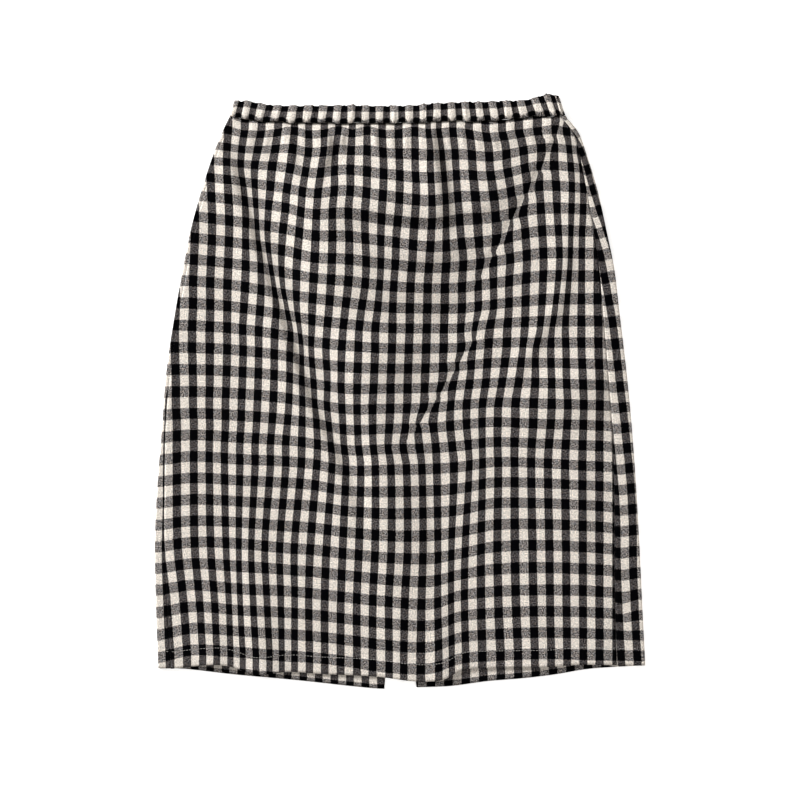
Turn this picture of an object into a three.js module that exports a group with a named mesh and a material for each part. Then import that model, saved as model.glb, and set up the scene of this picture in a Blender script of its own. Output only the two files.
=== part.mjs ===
// A pull-on gingham skirt with a gathered elastic waistband, laid flat with its front up.
// Millimetres. +X is to the right seen from above, +Y points to the waist, +Z is up from the table.
// The origin is at the middle of the outline, on the table.
import * as THREE from "three";

// Cloth layers. A layer's height is that of the middle of its wall.
const clothWall = 1.2;
const seamGap = 0.3;
const restLayer = clothWall / 2;
const upperLayer = restLayer + clothWall + seamGap;

// Waistband: a casing gathered on elastic, one half lying on the other.
const bandWall = 2.2;
const bandGathers = 24;
const samplesPerGather = 4;
const backRipple = 0.9;
const frontRipple = 1.3;
const edgeScallop = 1.4;
const bandRest = bandWall / 2;
const bandUpper = bandRest + backRipple + bandWall + seamGap;
const bandRadius = (bandUpper - bandRest) / 2;
const bandReach = bandRadius + bandWall / 2;
const bandEnds = { leftTop: -173.5, leftSeam: -177.5, rightTop: 168, rightSeam: 174 };

// Fullness under the band: the gathers die out and the cloth swells, then settles.
const gatherRise = 2.4;
const gatherLength = 22;
const puffRise = 4.6;
const puffStart = 14;
const puffLength = 80;
const settleLength = 26;

// The side folds.
const sideRollWidth = 18;
const reliefMargin = 16;

// Centre-back slit.
const slitTop = -160;
const slitLeft = -16.3;
const slitRight = 17.4;

// One row for each level: the folded side edges, the side seams, which roll on to the front, and
// the height of the upper layer where it turns over the side.
const sideLevels = [
  { y: 288, leftEdge: -178, leftSeam: -174, rightSeam: 171.5, rightEdge: 177, loft: 4.5 },
  { y: 254, leftEdge: -194, leftSeam: -190, rightSeam: 187, rightEdge: 194, loft: 4.2 },
  { y: 212, leftEdge: -208, leftSeam: -204, rightSeam: 195.5, rightEdge: 207, loft: 3.8 },
  { y: 170, leftEdge: -219.5, leftSeam: -215.5, rightSeam: 203, rightEdge: 216.5, loft: 3.5 },
  { y: 128, leftEdge: -228, leftSeam: -224, rightSeam: 209, rightEdge: 225, loft: 3.3 },
  { y: 86, leftEdge: -235.5, leftSeam: -231.5, rightSeam: 212.5, rightEdge: 230, loft: 3.2 },
  { y: 23, leftEdge: -245, leftSeam: -241, rightSeam: 218, rightEdge: 237.5, loft: 3.1 },
  { y: -40, leftEdge: -250, leftSeam: -246, rightSeam: 222.5, rightEdge: 243.5, loft: 3 },
  { y: -103, leftEdge: -255, leftSeam: -247, rightSeam: 224.5, rightEdge: 248, loft: 2.9 },
  { y: -166, leftEdge: -257.5, leftSeam: -247.5, rightSeam: 225, rightEdge: 251.5, loft: 2.8 },
  { y: -229, leftEdge: -256, leftSeam: -244, rightSeam: 225.5, rightEdge: 254.5, loft: 2.7 },
  { y: -288, leftEdge: -254, leftSeam: -240.5, rightSeam: 227.5, rightEdge: 257.5, loft: 2.6 },
];

// The seam between the band and the skirt.
const waistSeam = [
  { x: -178, y: 288 },
  { x: -140, y: 283 },
  { x: -90, y: 281.5 },
  { x: 0, y: 281.5 },
  { x: 60, y: 284 },
  { x: 90, y: 283 },
  { x: 125, y: 287 },
  { x: 177, y: 290 },
];

// The same seam on the back is a plain shallow curve.
const backWaist = { halfWidth: 177, middle: 282.5, rise: 6.2, tilt: 1.2 };

// The top edge of the band, before its scallops.
const bandTop = [
  { x: -173, y: 304 },
  { x: -160, y: 304.5 },
  { x: -132, y: 300 },
  { x: -60, y: 300 },
  { x: 6, y: 299.5 },
  { x: 35, y: 302 },
  { x: 92, y: 304 },
  { x: 130, y: 305.5 },
  { x: 155, y: 311.3 },
  { x: 168, y: 309.5 },
];

// The front hem, which waves where the folds reach it.
const frontHem = [
  { x: -241, y: -291 },
  { x: -195, y: -286.5 },
  { x: -176, y: -289 },
  { x: -152, y: -296.5 },
  { x: -116, y: -294 },
  { x: -84, y: -296 },
  { x: -25, y: -299 },
  { x: 17, y: -304 },
  { x: 45, y: -302 },
  { x: 66, y: -292 },
  { x: 95, y: -290 },
  { x: 152, y: -289 },
  { x: 190, y: -286.5 },
  { x: 228, y: -287 },
];

// The back hem, which hangs a little lower at the slit.
const backHem = [
  { x: -254, y: -290.5 },
  { x: -228, y: -291 },
  { x: -174, y: -297 },
  { x: -108, y: -303 },
  { x: -43, y: -310 },
  { x: -16, y: -312 },
  { x: 17, y: -310.5 },
  { x: 54, y: -309 },
  { x: 92, y: -304 },
  { x: 129, y: -301 },
  { x: 163, y: -297 },
  { x: 200, y: -291 },
  { x: 257, y: -287.5 },
];

// Folds in the front. Each runs through its crest points, from the waist down, with the rise of the
// crest at each. left and right are the widths of its two flanks: a narrow flank is a steep one.
const folds = [
  {
    name: "left drag fold", left: 13, right: 10,
    crest: [
      { x: -170, y: 264, rise: 0 }, { x: -155, y: 212, rise: 4 }, { x: -141, y: 159, rise: 5 },
      { x: -122, y: 96, rise: 5.5 }, { x: -101, y: 33, rise: 5 }, { x: -86, y: -30, rise: 4 },
      { x: -68, y: -93, rise: 2.5 }, { x: -50, y: -150, rise: 0 },
    ],
  },
  {
    name: "right drag fold", left: 9, right: 22,
    crest: [
      { x: 172, y: 276, rise: 0 }, { x: 164, y: 259, rise: 3 }, { x: 150, y: 225, rise: 5 },
      { x: 126, y: 185, rise: 6 }, { x: 110, y: 149, rise: 6 }, { x: 94, y: 112, rise: 5.5 },
      { x: 80, y: 60, rise: 5 }, { x: 65, y: 12, rise: 4.5 }, { x: 47, y: -19, rise: 3.5 },
      { x: 20, y: -55, rise: 1.5 }, { x: 0, y: -85, rise: 0 },
    ],
  },
  {
    name: "right hip fold", left: 15, right: 9,
    crest: [
      { x: 184, y: 236, rise: 0 }, { x: 181, y: 183, rise: 3.5 }, { x: 176, y: 135, rise: 4.5 },
      { x: 171, y: 91, rise: 4.5 }, { x: 158, y: 65, rise: 4 }, { x: 142, y: 33, rise: 3 },
      { x: 122, y: -10, rise: 1 }, { x: 110, y: -40, rise: 0 },
    ],
  },
  {
    name: "pleat right of the middle", left: 9, right: 9,
    crest: [
      { x: 39, y: 282, rise: 1.5 }, { x: 43, y: 254, rise: 3.5 }, { x: 45, y: 227, rise: 3.5 },
      { x: 50, y: 191, rise: 2 }, { x: 56, y: 150, rise: 0 },
    ],
  },
  {
    name: "pleat left of the middle", left: 9, right: 8,
    crest: [
      { x: -75, y: 281, rise: 1.5 }, { x: -74, y: 254, rise: 3.5 }, { x: -72, y: 222, rise: 2 },
      { x: -70, y: 190, rise: 0 },
    ],
  },
  {
    name: "left pleat", left: 8, right: 9,
    crest: [
      { x: -108, y: 282, rise: 1.5 }, { x: -107, y: 254, rise: 3 }, { x: -104, y: 225, rise: 1.5 },
      { x: -100, y: 195, rise: 0 },
    ],
  },
  {
    name: "lower right bunch", left: 10, right: 13,
    crest: [
      { x: 71, y: -70, rise: 0 }, { x: 64, y: -125, rise: 2.5 }, { x: 55, y: -180, rise: 3.5 },
      { x: 50, y: -240, rise: 4 }, { x: 50, y: -302, rise: 4.5 },
    ],
  },
  {
    name: "lower middle wave", left: 16, right: 14,
    crest: [
      { x: 28, y: -50, rise: 0 }, { x: 30, y: -110, rise: 2 }, { x: 20, y: -180, rise: 2 },
      { x: 10, y: -250, rise: 2.5 }, { x: 8, y: -303, rise: 3 },
    ],
  },
  {
    name: "lower left wave", left: 13, right: 15,
    crest: [
      { x: -172, y: -60, rise: 0 }, { x: -163, y: -140, rise: 2.5 }, { x: -152, y: -215, rise: 3 },
      { x: -142, y: -297, rise: 4 },
    ],
  },
  {
    name: "left hem wave", left: 14, right: 14,
    crest: [
      { x: -206, y: -160, rise: 0 }, { x: -202, y: -230, rise: 1.5 }, { x: -197, y: -288, rise: 2.5 },
    ],
  },
  {
    name: "tail of the left drag fold", left: 16, right: 16,
    crest: [
      { x: -56, y: -80, rise: 0 }, { x: -48, y: -140, rise: 2.5 }, { x: -42, y: -200, rise: 2.5 },
      { x: -38, y: -255, rise: 1 }, { x: -36, y: -292, rise: 0 },
    ],
  },
  {
    name: "right hem wave", left: 20, right: 20,
    crest: [
      { x: 146, y: -150, rise: 0 }, { x: 148, y: -220, rise: 1.5 }, { x: 152, y: -289, rise: 2 },
    ],
  },
];

// Swags hang across the middle between the two drag folds. up and down are their flanks' widths.
const swags = [
  {
    name: "upper swag", up: 9, down: 12,
    crest: [
      { x: -40, y: 206, rise: 0 }, { x: 5, y: 187, rise: 2.5 }, { x: 40, y: 182, rise: 2.5 },
      { x: 85, y: 196, rise: 0 },
    ],
  },
  {
    name: "middle swag", up: 9, down: 13,
    crest: [
      { x: -45, y: 162, rise: 0 }, { x: 0, y: 138, rise: 3 }, { x: 35, y: 133, rise: 3 },
      { x: 80, y: 150, rise: 0 },
    ],
  },
  {
    name: "lower swag", up: 9, down: 14,
    crest: [
      { x: -40, y: 112, rise: 0 }, { x: 5, y: 92, rise: 2.5 }, { x: 40, y: 90, rise: 2 },
      { x: 75, y: 104, rise: 0 },
    ],
  },
];

// How finely the solids are divided: rows by their depth below the waist seam, then columns.
const gatherDepths = [0, 6, 14, 26];
const swagDepth = 218;
const swagRows = 12;
const hemDepth = 577;
const hemRows = 14;
const frontColumns = 44;
const restColumns = 6;
const turnSteps = 5;
const bandRows = 2;

const { clamp, lerp, smoothstep } = THREE.MathUtils;

// A smooth curve through a table's rows: one column as a function of another.
function curve(rows, key, value) {
  const knots = [...rows].sort((a, b) => a[key] - b[key]);
  const last = knots.length - 1;
  const slope = (i) => {
    const before = knots[Math.max(i - 1, 0)];
    const after = knots[Math.min(i + 1, last)];
    return (after[value] - before[value]) / (after[key] - before[key]);
  };
  return (at) => {
    const place = clamp(at, knots[0][key], knots[last][key]);
    let i = 0;
    while (i < last - 1 && place > knots[i + 1][key]) i += 1;
    const span = knots[i + 1][key] - knots[i][key];
    const f = (place - knots[i][key]) / span;
    const ease = f * f * (3 - 2 * f);
    const bend = f * (1 - f) * span;
    return lerp(knots[i][value], knots[i + 1][value], ease)
      + bend * ((1 - f) * slope(i) - f * slope(i + 1));
  };
}

const side = {};
for (const column of ["leftEdge", "leftSeam", "rightSeam", "rightEdge", "loft"]) {
  side[column] = curve(sideLevels, "y", column);
}
const waistY = curve(waistSeam, "x", "y");
const backWaistY = (x) => {
  const place = x / backWaist.halfWidth;
  return backWaist.middle + backWaist.rise * place ** 2 + backWaist.tilt * place;
};
const bandTopY = curve(bandTop, "x", "y");
const frontHemY = curve(frontHem, "x", "y");
const backHemY = curve(backHem, "x", "y");

// Points evenly spaced from 0 to 1, both included.
const steps = (count) => Array.from({ length: count + 1 }, (_, i) => i / count);

// The gathers across the garment, from 0 in a groove to 1 on a crest, unevenly spaced and sized.
function gather(across) {
  const drift = 0.3 * Math.sin(21 * across) + 0.15 * Math.sin(47 * across + 2);
  const size = 0.78 + 0.22 * Math.sin(33 * across + 1);
  return size * (0.5 - 0.5 * Math.cos(2 * Math.PI * (bandGathers * across + drift)));
}

const flank = (distance, width) => Math.exp(-((distance / width) ** 2));

// A ridge whose crest is a curve along one axis, read at a point of the cloth.
function ridge(crest, along, over, before, after) {
  const line = curve(crest, along, over);
  const rise = curve(crest, along, "rise");
  const ends = crest.map((point) => point[along]);
  const start = Math.min(...ends);
  const end = Math.max(...ends);
  return (point) => {
    const at = point[along];
    const lean = line(at + 1) - line(at - 1);
    const distance = (point[over] - line(at)) / Math.hypot(1, lean / 2);
    const beyond = Math.max(start - at, at - end, 0);
    const width = distance < 0 ? before : after;
    return rise(at) * flank(distance, width) * flank(beyond, width);
  };
}

const ridges = [
  ...folds.map((fold) => ridge(fold.crest, "y", "x", fold.left, fold.right)),
  ...swags.map((swag) => ridge(swag.crest, "x", "y", swag.down, swag.up)),
];

// The height of the front panel's middle at a point, given how far across it lies.
function frontHeight(x, y, across) {
  const depth = Math.max(waistY(x) - y, 0);
  const inset = Math.min(x - side.leftSeam(y), side.rightSeam(y) - x);
  const roll = (side.loft(y) - upperLayer) * flank(inset, sideRollWidth);
  const free = smoothstep(inset, 0, reliefMargin);
  const settle = (bandUpper - upperLayer) * flank(depth, settleLength);
  const puff = puffRise * (1 - Math.exp(-depth / puffStart)) * flank(depth, puffLength);
  const gathers = gatherRise * gather(across) * flank(depth, gatherLength);
  const relief = ridges.reduce((sum, rise) => sum + rise({ x, y }), 0);
  return upperLayer + Math.max(roll, free * settle) + free * (puff + gathers + relief);
}

// The place at a fraction of the way along a row of points.
function pointAlong(row, fraction) {
  const place = fraction * (row.length - 1);
  const i = Math.min(Math.floor(place), row.length - 2);
  return row[i].clone().lerp(row[i + 1], place - i);
}

// Triangles between two rows of vertex numbers, which may differ in count.
function stitch(upper, lower, triangles) {
  let i = 0;
  let j = 0;
  while (i < upper.length - 1 || j < lower.length - 1) {
    const nextUpper = i < upper.length - 1 ? (i + 1) / (upper.length - 1) : Infinity;
    const nextLower = j < lower.length - 1 ? (j + 1) / (lower.length - 1) : Infinity;
    if (nextUpper <= nextLower) {
      triangles.push([upper[i], lower[j], upper[i + 1]]);
      i += 1;
    } else {
      triangles.push([upper[i], lower[j], lower[j + 1]]);
      j += 1;
    }
  }
}

// A closed wall of cloth around rows of middle points, from the waist down. Its edges stand
// upright, so that neighbours keep their gap along a seam.
function wall(rows, thickness) {
  const outer = [];
  const inner = [];
  const numbers = [];
  rows.forEach((row, r) => {
    const above = rows[Math.max(r - 1, 0)];
    const below = rows[Math.min(r + 1, rows.length - 1)];
    numbers.push(row.map((point, i) => {
      const fraction = i / (row.length - 1);
      const down = pointAlong(below, fraction).sub(pointAlong(above, fraction));
      const along = row[Math.min(i + 1, row.length - 1)].clone().sub(row[Math.max(i - 1, 0)]);
      if (r === 0 || r === rows.length - 1) down.z = 0;
      if (i === 0 || i === row.length - 1) along.z = 0;
      const offset = down.cross(along).setLength(thickness / 2);
      outer.push(point.clone().add(offset));
      inner.push(point.clone().sub(offset));
      return outer.length - 1;
    }));
  });

  const face = [];
  for (let r = 0; r < rows.length - 1; r += 1) stitch(numbers[r], numbers[r + 1], face);
  const rim = [
    ...numbers[0],
    ...numbers.slice(1).map((row) => row[row.length - 1]),
    ...numbers[numbers.length - 1].slice(0, -1).reverse(),
    ...numbers.slice(1, -1).map((row) => row[0]).reverse(),
  ];
  const hidden = outer.length;
  const index = [];
  for (const [a, b, c] of face) index.push(a, b, c, a + hidden, c + hidden, b + hidden);
  rim.forEach((p, i) => {
    const q = rim[(i + 1) % rim.length];
    index.push(p, q, q + hidden, p, q + hidden, p + hidden);
  });

  const geometry = new THREE.BufferGeometry();
  geometry.setFromPoints([...outer, ...inner]);
  geometry.setIndex(index);
  geometry.computeVertexNormals();
  return geometry;
}

// How far down each row lies, from 0 at the waist seam to 1 at the hem.
const gatherEnd = gatherDepths[gatherDepths.length - 1];
const rowDepths = [
  ...gatherDepths,
  ...steps(swagRows).slice(1).map((f) => lerp(gatherEnd, swagDepth, f)),
  ...steps(hemRows).slice(1).map((f) => lerp(swagDepth, hemDepth, f)),
];
const rowPlaces = rowDepths.map((depth) => depth / hemDepth);

const topLevel = sideLevels[0];
const hemLevel = sideLevels[sideLevels.length - 1];

// The front panel, between the side seams, from the waist seam to its hem.
function frontPanel() {
  const rows = rowPlaces.map((down, r) => {
    const columns = r < gatherDepths.length ? bandGathers * samplesPerGather : frontColumns;
    return steps(columns).map((across) => {
      const topX = lerp(topLevel.leftSeam, topLevel.rightSeam, across);
      const hemX = lerp(hemLevel.leftSeam, hemLevel.rightSeam, across);
      const y = lerp(waistY(topX) - seamGap / 2, frontHemY(hemX), down);
      const left = side.leftSeam(y) + seamGap / 2;
      const right = side.rightSeam(y) - seamGap / 2;
      const x = lerp(left, right, across);
      return new THREE.Vector3(x, y, frontHeight(x, y, across));
    });
  });
  return wall(rows, clothWall);
}

// Half of the back: it rests on the table, rolls over the side and ends at the side seam on top.
function backPanel(edgeColumn, seamColumn, slitHem) {
  const outward = Math.sign(slitHem);
  const rows = rowPlaces.map((down) => {
    const place = (across) => {
      const topX = lerp(0, topLevel[seamColumn], across);
      const hemX = lerp(slitHem, hemLevel[edgeColumn], across);
      return lerp(backWaistY(topX) - seamGap / 2, backHemY(hemX), down);
    };
    const y = place(1);
    const radius = (side.loft(y) - restLayer) / 2;
    const open = clamp((slitTop - y) / (slitTop - hemLevel.y), 0, 1);
    const start = lerp(outward * seamGap / 2, slitHem, open);
    const turn = side[edgeColumn](y) - outward * (radius + clothWall / 2);
    const end = side[seamColumn](y) + outward * seamGap / 2;
    const rest = steps(restColumns).map((across) => {
      return new THREE.Vector3(lerp(start, turn, across), place(across), restLayer);
    });
    const roll = steps(turnSteps).slice(1).map((f) => {
      const angle = Math.PI * f;
      const x = turn + outward * radius * Math.sin(angle);
      return new THREE.Vector3(x, y, restLayer + radius - radius * Math.cos(angle));
    });
    return [...rest, ...roll, new THREE.Vector3(end, y, side.loft(y))];
  });
  return wall(rows, clothWall);
}

// Where the band's half lies at a fraction of its height: 0 at the seam, 1 at the top edge.
function bandSpan(height, inset) {
  return {
    left: lerp(bandEnds.leftSeam, bandEnds.leftTop, height) + inset,
    right: lerp(bandEnds.rightSeam, bandEnds.rightTop, height) - inset,
  };
}

function bandPoint(x, z, seamY, height, across) {
  const scallop = edgeScallop * (gather(across) - 0.5);
  return new THREE.Vector3(x, lerp(seamY + seamGap / 2, bandTopY(x) + scallop, height), z);
}

// The front half of the band, rippled by its gathers.
function bandFront() {
  const rows = steps(bandRows).reverse().map((height) => {
    const { left, right } = bandSpan(height, bandReach + seamGap);
    return steps(bandGathers * samplesPerGather).map((across) => {
      const z = bandUpper + frontRipple * gather(across);
      const x = lerp(left, right, across);
      return bandPoint(x, z, waistY(x), height, across);
    });
  });
  return wall(rows, bandWall);
}

// The back half of the band, which turns over at both sides and ends on top.
function bandBack() {
  const rows = steps(bandRows).reverse().map((height) => {
    const { left, right } = bandSpan(height, bandReach);
    const turn = (x, outward) => steps(turnSteps).map((f) => {
      const angle = Math.PI * f;
      const z = bandRest + bandRadius - bandRadius * Math.cos(angle);
      return { x: x + outward * bandRadius * Math.sin(angle), z };
    });
    const rest = steps(bandGathers * samplesPerGather).slice(1, -1).map((across) => {
      return { x: lerp(left, right, across), z: bandRest + backRipple * gather(across) };
    });
    const section = [...turn(left, -1).reverse(), ...rest, ...turn(right, 1)];
    return section.map(({ x, z }) => {
      const across = clamp((x - left) / (right - left), 0, 1);
      return bandPoint(x, z, backWaistY(x), height, across);
    });
  });
  return wall(rows, bandWall);
}

const gingham = { roughness: 0.9, metalness: 0 };
const pieces = [
  { name: "front_panel", shape: frontPanel(), color: 0x6f6b66 },
  { name: "back_left_panel", shape: backPanel("leftEdge", "leftSeam", slitLeft), color: 0x605c58 },
  { name: "back_right_panel", shape: backPanel("rightEdge", "rightSeam", slitRight), color: 0x605c58 },
  { name: "waistband_front", shape: bandFront(), color: 0x67635e },
  { name: "waistband_back", shape: bandBack(), color: 0x5b5753 },
];

const group = new THREE.Group();
for (const { name, shape, color } of pieces) {
  const mesh = new THREE.Mesh(shape, new THREE.MeshStandardMaterial({ color, ...gingham }));
  mesh.name = name;
  group.add(mesh);
}

export default group;
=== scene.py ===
"""A pull-on gingham skirt laid flat, front up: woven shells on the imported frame, and their stitches."""
import math

import bpy
import numpy as np
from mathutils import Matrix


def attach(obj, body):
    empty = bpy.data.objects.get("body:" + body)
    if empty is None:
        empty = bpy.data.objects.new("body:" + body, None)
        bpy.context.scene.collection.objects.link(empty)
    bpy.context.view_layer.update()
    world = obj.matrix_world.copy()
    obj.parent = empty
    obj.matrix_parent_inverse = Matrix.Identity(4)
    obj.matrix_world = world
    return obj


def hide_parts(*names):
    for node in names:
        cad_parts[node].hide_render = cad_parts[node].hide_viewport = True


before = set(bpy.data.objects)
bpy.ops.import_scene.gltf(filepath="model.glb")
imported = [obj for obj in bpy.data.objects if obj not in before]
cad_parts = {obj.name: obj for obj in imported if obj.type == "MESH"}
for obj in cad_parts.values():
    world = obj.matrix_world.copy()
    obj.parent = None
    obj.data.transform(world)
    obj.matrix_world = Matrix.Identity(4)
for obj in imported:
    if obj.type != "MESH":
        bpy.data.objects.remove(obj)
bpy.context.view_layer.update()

rng = np.random.default_rng(7)
MM = 0.001

# ---------------------------------------------------------------- sizes, in millimetres

# The cloth, the middles of the layer that rests on the floor and of the front, and the gap at each seam.
CLOTH = 1.0
REST_LAYER = CLOTH / 2
UPPER_LAYER = 2.1
SEAM_GAP = 0.3

# The casing of doubled cloth: the middles of its two layers, the round fold that joins them, and the x of
# its ends at the top edge and at the seam.
BAND_WALL = 2.2
BAND_REST = BAND_WALL / 2
BAND_UPPER = 4.5
BAND_RADIUS = (BAND_UPPER - BAND_REST) / 2
BAND_REACH = BAND_RADIUS + BAND_WALL / 2
BAND_LEFT_TOP = -174
BAND_LEFT_SEAM = -179
BAND_RIGHT_TOP = 166.5
BAND_RIGHT_SEAM = 173.5

# Its front starts a little below the upper layer and bulges. The ripples and puckers stand on that, and
# wave the top edge. Near the seam the gathers shift its rows by up to the tuck, a share of a row.
BAND_DROP = 1.2
FRONT_RIPPLE = 1.3
BACK_RIPPLE = 0.9
BAND_PUCKER = 0.7
EDGE_SCALLOP = 1.2
EDGE_BUMP = 1.1
BAND_TUCK = 0.34

# The front under the band: the groove of the seam and its waves, and the share of the relief that the seam
# holds down. Then how the cloth settles from the band's height, its gathers, and the puff of cloth under
# them. Each length says how far down the front that reaches.
SEAM_DEPTH = 2.7
SEAM_WIDTH = 2.6
SEAM_WAVE = 0.5
SEAM_SCALLOP = 0.7
SEAM_HOLD = 0.85
SEAM_HOLD_LENGTH = 11
SETTLE_LENGTH = 26
GATHER_RISE = 3.4
GATHER_LENGTH = 20
GATHER_LENGTH_SPREAD = 9
PUFF_RISE = 2.5
PUFF_START = 16
PUFF_LENGTH = 80

# The rest of the front: how high it lies free of the back, the softness of its lows where they would reach
# the back, its slack, the width of the rolls at its sides and the margins in which its relief fades out.
FREE_LIFT = 0.5
LOW_SOFTNESS = 0.8
BROAD_SLACK = 0.45
FINE_SLACK = 0.25
SIDE_ROLL_WIDTH = 18
LEFT_MARGIN = 26
RIGHT_MARGIN = 15

# The slit of the back: the y of its top, and the x of its two edges at the hem.
SLIT_TOP = -160
SLIT_LEFT = -16.3
SLIT_RIGHT = 17.4

# The stitches lie the hem's depth above the edge. The allowance under them lifts the front by a small step,
# which lies between two heights above the stitches.
HEM_DEPTH = 17.8
HEM_STEP = 0.35
HEM_STEP_TOP = 2.5
HEM_STEP_FOOT = 0.5
SLIT_STITCH_INSET = 4
STITCH_PITCH = 3
STITCH_LENGTH = 2.3
STITCH_RADIUS = 0.2
STITCH_UNEVENNESS = 0.12
STITCH_LEVEL_UNDER = 0.05

# The check's repeat where the cloth lies plain, and its threads.
CHECK_WIDTH = 18
CHECK_HEIGHT = 23
THREADS_PER_CHECK_WIDTH = 34
THREADS_PER_CHECK_HEIGHT = 44

# Points in the meshes and along the lines of stitches. The front's rows of points lie closer in its
# gathered share, at the top.
GATHERED_SHARE = 0.1
FRONT_GATHERED_POINTS = 36
FRONT_DOWN_POINTS = 198
FRONT_ACROSS_POINTS = 204
BACK_DOWN_POINTS = 190
BACK_REST_POINTS = 80
BACK_FOLD_POINTS = 12
BACK_STRIP_POINTS = 10
BAND_FRONT_POINTS = (24, 560)
BAND_BACK_POINTS = (12, 400)
BAND_FOLD_POINTS = 11
FRONT_LINE_POINTS = 300
BACK_LINE_POINTS = 160
SLIT_LINE_POINTS = 100
STRIP_LINE_POINTS = 12

# The side folds and the side seams at each level, and the height of the upper layer there.
SIDE_COLUMNS = ("y", "left_edge", "left_seam", "right_seam", "right_edge", "loft")
SIDE_LEVELS = (
    (288, -179, -175, 168.5, 174, 4.5),
    (272, -186.5, -182.5, 181, 187, 4.4),
    (254, -194, -190, 187, 194, 4.2),
    (212, -208, -204, 195.5, 207, 3.8),
    (170, -219.5, -215.5, 203, 216.5, 3.5),
    (128, -228, -224, 209, 225, 3.3),
    (86, -235.5, -231.5, 212.5, 230, 3.2),
    (23, -245, -241, 218, 237.5, 3.1),
    (-40, -250, -246, 222.5, 243.5, 3),
    (-103, -255, -247, 224.5, 248, 2.9),
    (-166, -257.5, -247.5, 225, 251.5, 2.8),
    (-229, -256, -244, 225.5, 254.5, 2.7),
    (-288, -254, -240.5, 227.5, 257.5, 2.6),
)

# Edges that run across the skirt, as (x, y).
WAIST_SEAM = (
    (-178, 288), (-140, 283), (-90, 281.5), (0, 281.5), (60, 284), (90, 283), (125, 287), (177, 290),
)
BAND_TOP = (
    (-173, 304), (-160, 304.5), (-132, 300), (-60, 300), (6, 299.5), (35, 302), (92, 304), (130, 305.5),
    (155, 311.3), (168, 309.5),
)
FRONT_HEM = (
    (-241, -291), (-195, -286.5), (-176, -289), (-152, -296.5), (-116, -294), (-84, -296), (-25, -299),
    (17, -304), (45, -302), (66, -292), (95, -290), (152, -289), (190, -286.5), (228, -287),
)
BACK_HEM = (
    (-254, -290.5), (-228, -291), (-174, -297), (-108, -303), (-43, -310), (-16, -312), (17, -310.5),
    (54, -309), (92, -304), (129, -301), (163, -297), (200, -291), (257, -287.5),
)

# The back's edge under the band is a shallow bow that tilts: half its width, and the y of its middle.
BACK_WAIST_HALF = 177
BACK_WAIST_MIDDLE = 282.5
BACK_WAIST_RISE = 6.2
BACK_WAIST_TILT = 1.2

# The crease under the left drag fold, as (y, x).
LEFT_CREASE = (
    (275, -181), (250, -175), (198, -157), (141, -140), (93, -123), (44, -105), (-12, -87), (-61, -63),
    (-103, -49), (-132, -39),
)

# The yoke is the cloth between the two drag folds, which stands higher: its rise by the depth below the
# waist seam, as (depth, rise). It slopes up from the left crease over one width, and down to the right
# crease over a width that changes, as (y, width).
YOKE_PROFILE = (
    (0, 0), (12, 1.5), (42, 4.8), (82, 12), (120, 12), (155, 10.8), (195, 8), (215, 7.3), (255, 10), (300, 8),
    (350, 5), (400, 2), (440, 0),
)
YOKE_SLOPE = 78
YOKE_DROP = ((-60, 74), (40, 60), (110, 48), (160, 44), (205, 20))

# Towards the top it also falls off to the right, as (x, share of the rise): not at all at the first of
# these levels, and fully at the second.
YOKE_STEP = ((20, 1), (34, 0.97), (50, 0.66), (62, 0.56), (90, 0.5), (118, 0.28), (145, 0.12))
YOKE_STEP_LEVELS = (125, 205)

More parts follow.
